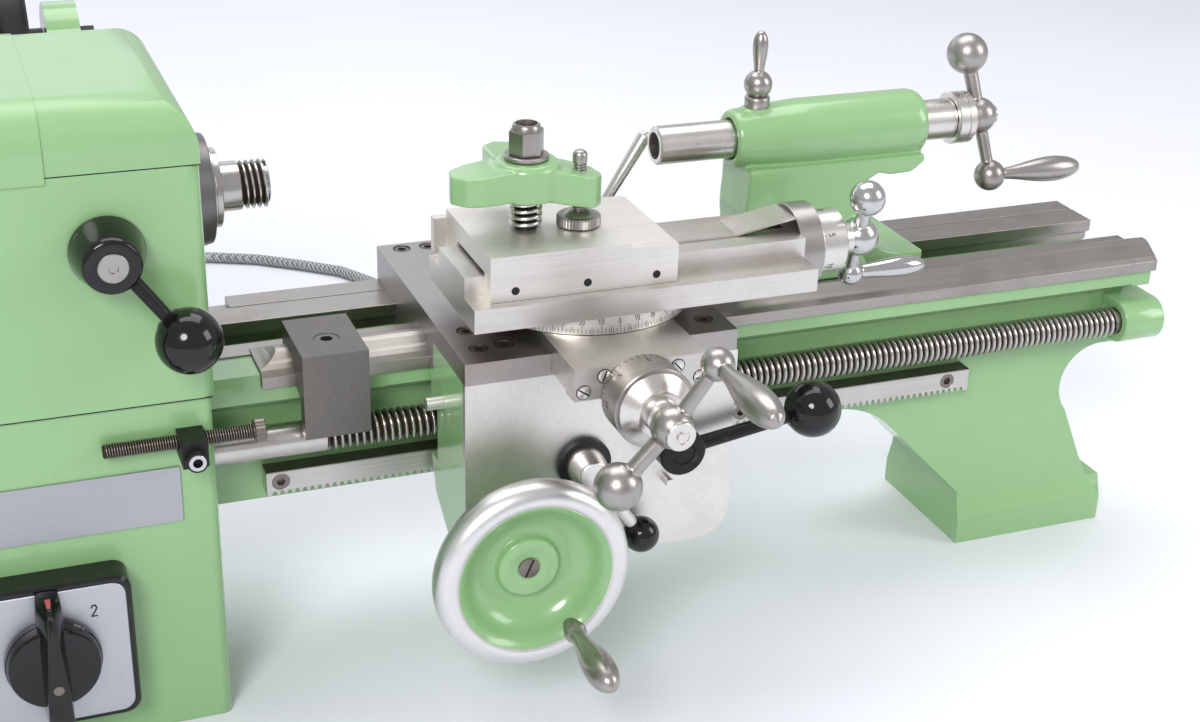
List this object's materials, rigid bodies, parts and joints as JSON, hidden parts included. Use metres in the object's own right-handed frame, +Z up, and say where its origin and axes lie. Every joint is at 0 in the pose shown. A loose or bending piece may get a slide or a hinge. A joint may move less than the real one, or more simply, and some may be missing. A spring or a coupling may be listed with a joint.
{
  "type": "leadscrew lathe",
  "caption": "Small bench lathe: headstock on a cabinet, prismatic bed, leadscrew, saddle with cross and top slides, tool clamp and tailstock with ball cranks.",
  "frame": {"origin": "on the bench, in the middle of the cabinet's underside, below the spindle axis", "axes": "+X along the bed towards the tailstock, +Y to the rear, +Z up from the bench"},
  "size_m": [0.653, 0.6583, 0.2883],
  "materials": {
    "green_paint": "gloss",
    "ground_steel": "ground",
    "bright_steel": "polished",
    "dark_steel": "oiled",
    "chrome": "polished",
    "bronze": "machined",
    "black_plastic": "gloss",
    "cable_grey": "matte",
    "belt_rubber": "matte",
    "motor_grey": "satin"
  },
  "bodies": {
    "base": {"cabinet": "green_paint", "headstock_casting": "green_paint", "headstock_lid": "green_paint", "gear_cover": "green_paint", "bed_casting": "green_paint", "front_way": "ground_steel", "rear_way": "ground_steel", "rack": "ground_steel", "rack_screws": "dark_steel", "leadscrew_bracket": "green_paint", "nameplate": "ground_steel", "switch_plate": "ground_steel", "bearings": "bronze", "motor": "motor_grey", "countershaft_bracket": "green_paint", "drive_belts": "belt_rubber", "stop_rod_block": "dark_steel", "strain_relief": "black_plastic", "mains_cable": "cable_grey", "cable_coil": "cable_grey", "mains_plug": "black_plastic"},
    "spindle": {"spindle": "bright_steel", "spindle_pulley": "dark_steel"},
    "countershaft": {"countershaft": "dark_steel"},
    "motor_rotor": {"motor_pulley": "dark_steel"},
    "idler": {"idler_gear": "bronze"},
    "leadscrew": {"leadscrew": "bright_steel"},
    "gear_lever": {"gear_lever": "dark_steel"},
    "switch_knob": {"switch_knob": "black_plastic"},
    "stop_rod": {"stop_rod": "bright_steel"},
    "bed_stop": {"bed_stop": "ground_steel"},
    "saddle": {"saddle": "ground_steel", "saddle_screws": "dark_steel", "apron": "green_paint", "apron_plate": "ground_steel"},
    "saddle_lock_lever": {"saddle_lock_lever": "bright_steel"},
    "handwheel": {"handwheel": "green_paint", "pinion_shaft": "bright_steel"},
    "feed_lever": {"feed_lever": "bright_steel"},
    "half_nut_lever": {"half_nut_lever": "dark_steel"},
    "half_nut": {"half_nut": "bronze"},
    "cross_slide": {"cross_slide": "ground_steel"},
    "cross_crank": {"cross_slide_screw": "bright_steel", "cross_slide_crank": "bright_steel"},
    "swivel": {"top_slide_base": "ground_steel", "chip_guard": "ground_steel"},
    "top_slide": {"top_slide_block": "ground_steel", "tool_stud": "dark_steel", "clamp_spring": "bright_steel"},
    "top_crank": {"top_slide_screw": "bright_steel", "top_slide_crank": "chrome"},
    "tool_clamp": {"tool_clamp": "green_paint"},
    "clamp_nut": {"clamp_nut": "bright_steel"},
    "jack_screw": {"clamp_jack_screw": "bright_steel"},
    "tailstock": {"tailstock_casting": "green_paint", "tailstock_barrel": "bright_steel", "tailstock_clamp": "dark_steel"},
    "quill": {"quill": "bright_steel"},
    "tailstock_crank": {"tailstock_crank": "bright_steel"},
    "quill_lock": {"quill_lock_lever": "bright_steel"}
  },
  "joints": [
    {"name": "spindle_spin", "type": "hinge", "parent": "base", "child": "spindle", "pos_m": [0, 0, 0.21], "axis": [1, 0, 0], "continuous": true},
    {"name": "countershaft_spin", "type": "hinge", "parent": "base", "child": "countershaft", "pos_m": [0, 0.11, 0.242], "axis": [1, 0, 0], "continuous": true},
    {"name": "motor_spin", "type": "hinge", "parent": "base", "child": "motor_rotor", "pos_m": [0, 0.005, 0.056], "axis": [1, 0, 0], "continuous": true},
    {"name": "idler_spin", "type": "hinge", "parent": "base", "child": "idler", "pos_m": [0, -0.00396, 0.16317], "axis": [1, 0, 0], "continuous": true},
    {"name": "leadscrew_spin", "type": "hinge", "parent": "base", "child": "leadscrew", "pos_m": [0, -0.043, 0.115], "axis": [1, 0, 0], "continuous": true},
    {"name": "gear_lever_turn", "type": "hinge", "parent": "base", "child": "gear_lever", "pos_m": [0.0642, -0.07, 0.211], "axis": [0, 1, 0], "range_deg": [0, 78]},
    {"name": "switch_turn", "type": "hinge", "parent": "base", "child": "switch_knob", "pos_m": [0.0288, -0.078, 0.0504], "axis": [0, 1, 0], "range_deg": [-45, 45]},
    {"name": "stop_rod_slide", "type": "slide", "parent": "base", "child": "stop_rod", "axis": [1, 0, 0], "range_m": [-0.015, 0.015]},
    {"name": "bed_stop_slide", "type": "slide", "parent": "base", "child": "bed_stop", "axis": [1, 0, 0], "range_m": [-0.008, 0.002]},
    {"name": "saddle_slide", "type": "slide", "parent": "base", "child": "saddle", "axis": [1, 0, 0], "range_m": [-0.025, 0.033]},
    {"name": "handwheel_turn", "type": "hinge", "parent": "saddle", "child": "handwheel", "pos_m": [0.209, -0.115, 0.081], "axis": [0, 1, 0], "range_deg": [-236.8, 179.5]},
    {"name": "feed_lever_turn", "type": "hinge", "parent": "saddle", "child": "feed_lever", "pos_m": [0.24, -0.1, 0.111], "axis": [0, 1, 0], "range_deg": [-18, 0]},
    {"name": "half_nut_lever_turn", "type": "hinge", "parent": "saddle", "child": "half_nut_lever", "pos_m": [0.2794, -0.1, 0.114], "axis": [0, 1, 0], "range_deg": [0, 30]},
    {"name": "half_nut_slide", "type": "slide", "parent": "saddle", "child": "half_nut", "axis": [0, 0, 1], "range_m": [0, 0.0042]},
    {"name": "saddle_lock_turn", "type": "hinge", "parent": "saddle", "child": "saddle_lock_lever", "pos_m": [0.29, 0.03, 0.165], "axis": [0, 0, 1], "range_deg": [-20, 40]},
    {"name": "cross_slide_travel", "type": "slide", "parent": "saddle", "child": "cross_slide", "axis": [0, 1, 0], "range_m": [-0.023, 0.009]},
    {"name": "cross_crank_turn", "type": "hinge", "parent": "cross_slide", "child": "cross_crank", "pos_m": [0.2535, -0.14, 0.1517], "axis": [0, 1, 0], "range_deg": [-4140.5, 1620.5]},
    {"name": "swivel_turn", "type": "hinge", "parent": "cross_slide", "child": "swivel", "pos_m": [0.2556, -0.0445, 0.168], "axis": [0, 0, 1], "range_deg": [-40, 3]},
    {"name": "top_slide_travel", "type": "slide", "parent": "swivel", "child": "top_slide", "axis": [1, 0, 0], "range_m": [-0.005, 0.0335]},
    {"name": "top_crank_turn", "type": "hinge", "parent": "swivel", "child": "top_crank", "pos_m": [0.379, -0.056, 0.18], "axis": [1, 0, 0], "range_deg": [-1200.5, 8040.5]},
    {"name": "tool_clamp_swing", "type": "hinge", "parent": "top_slide", "child": "tool_clamp", "pos_m": [0.2275, -0.054, 0.22], "axis": [0, 0, 1], "range_deg": [-25, 25]},
    {"name": "clamp_nut_turn", "type": "hinge", "parent": "top_slide", "child": "clamp_nut", "pos_m": [0.2275, -0.054, 0.236], "axis": [0, 0, 1], "range_deg": [-180, 180]},
    {"name": "jack_screw_turn", "type": "hinge", "parent": "tool_clamp", "child": "jack_screw", "pos_m": [0.249, -0.057, 0.215], "axis": [0, 0, 1], "range_deg": [-180, 180]},
    {"name": "tailstock_slide", "type": "slide", "parent": "base", "child": "tailstock", "axis": [1, 0, 0], "range_m": [-0.01, 0.105]},
    {"name": "quill_travel", "type": "slide", "parent": "tailstock", "child": "quill", "axis": [1, 0, 0], "range_m": [-0.01, 0.03]},
    {"name": "tailstock_crank_turn", "type": "hinge", "parent": "tailstock", "child": "tailstock_crank", "pos_m": [0.4697, 0, 0.21], "axis": [1, 0, 0], "range_deg": [-2400.5, 7200.5]},
    {"name": "quill_lock_turn", "type": "hinge", "parent": "tailstock", "child": "quill_lock", "pos_m": [0.354, 0, 0.23], "axis": [0, 0, 1], "range_deg": [-60, 60]}
  ],
  "couplings": [
    {"joint": "countershaft_spin", "follows": "spindle_spin", "ratio": 1.1538},
    {"joint": "motor_spin", "follows": "spindle_spin", "ratio": 2.6923},
    {"joint": "idler_spin", "follows": "spindle_spin", "ratio": -0.46875},
    {"joint": "leadscrew_spin", "follows": "spindle_spin", "ratio": 0.5},
    {"joint": "handwheel_turn", "follows": "saddle_slide", "rad_per_m": -125},
    {"joint": "half_nut_slide", "follows": "half_nut_lever_turn", "m_per_rad": 0.0079068},
    {"joint": "cross_crank_turn", "follows": "cross_slide_travel", "rad_per_m": 3141.6},
    {"joint": "top_crank_turn", "follows": "top_slide_travel", "rad_per_m": 4188.8},
    {"joint": "tailstock_crank_turn", "follows": "quill_travel", "rad_per_m": 4188.8}
  ]
}
